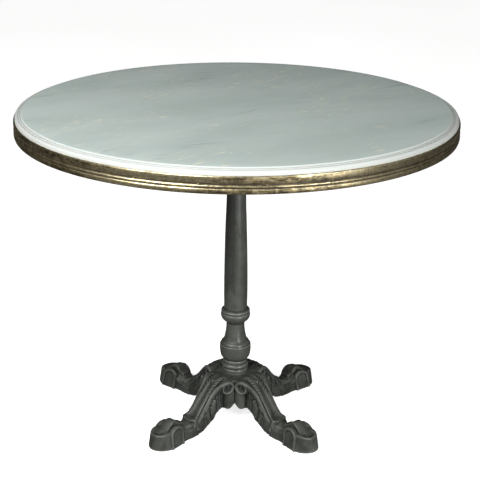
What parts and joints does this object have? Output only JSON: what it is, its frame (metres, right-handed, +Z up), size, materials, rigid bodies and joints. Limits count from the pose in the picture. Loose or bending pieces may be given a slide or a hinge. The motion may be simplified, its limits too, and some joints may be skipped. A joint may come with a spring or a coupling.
{
  "type": "bistro table",
  "caption": "Round pedestal cafe table: a marble slab in a moulded brass-banded board on a turned cast-iron column with scrolled legs ending in paw feet.",
  "frame": {"origin": "on the floor, on the column's axis", "axes": "+Z up along the column; the four legs point along the diagonals of X and Y; -Y is the front"},
  "size_m": [0.9612, 0.9612, 0.75],
  "materials": {
    "marble": "polished",
    "silicone": "matte",
    "plywood": "bare",
    "aged_brass": "aged",
    "pin_brass": "aged",
    "bracket_iron": "matte",
    "screw_steel": "zinc plated",
    "rod_steel": "plain",
    "column_iron": "satin black",
    "leg_iron": "satin black",
    "glide_plastic": "matte"
  },
  "bodies": {
    "table": {"marble_slab": "marble", "silicone_dabs": "silicone", "plywood_board": "plywood", "brass_band": "aged_brass", "band_pins": "pin_brass", "spider_bracket": "bracket_iron", "spider_screws": "screw_steel", "tie_rod": "rod_steel", "top_washer": "rod_steel", "top_nut": "rod_steel", "bottom_washer": "rod_steel", "bottom_nut": "rod_steel", "clamp_plate": "bracket_iron", "column_shaft": "column_iron", "column_baluster": "column_iron", "hub_collar": "column_iron", "leg_bolts": "screw_steel", "leg_washers": "screw_steel", "leg_front_right": "leg_iron", "leg_back_right": "leg_iron", "leg_back_left": "leg_iron", "leg_front_left": "leg_iron"},
    "glide_front_right": {"glide_pad_front_right": "glide_plastic", "glide_stud_front_right": "screw_steel"},
    "glide_back_right": {"glide_pad_back_right": "glide_plastic", "glide_stud_back_right": "screw_steel"},
    "glide_back_left": {"glide_pad_back_left": "glide_plastic", "glide_stud_back_left": "screw_steel"},
    "glide_front_left": {"glide_pad_front_left": "glide_plastic", "glide_stud_front_left": "screw_steel"}
  },
  "joints": [
    {"name": "glide_front_right_screw_out", "type": "slide", "parent": "table", "child": "glide_front_right", "axis": [0, 0, -1], "range_m": [0, 0.008]},
    {"name": "glide_back_right_screw_out", "type": "slide", "parent": "table", "child": "glide_back_right", "axis": [0, 0, -1], "range_m": [0, 0.008]},
    {"name": "glide_back_left_screw_out", "type": "slide", "parent": "table", "child": "glide_back_left", "axis": [0, 0, -1], "range_m": [0, 0.008]},
    {"name": "glide_front_left_screw_out", "type": "slide", "parent": "table", "child": "glide_front_left", "axis": [0, 0, -1], "range_m": [0, 0.008]}
  ]
}
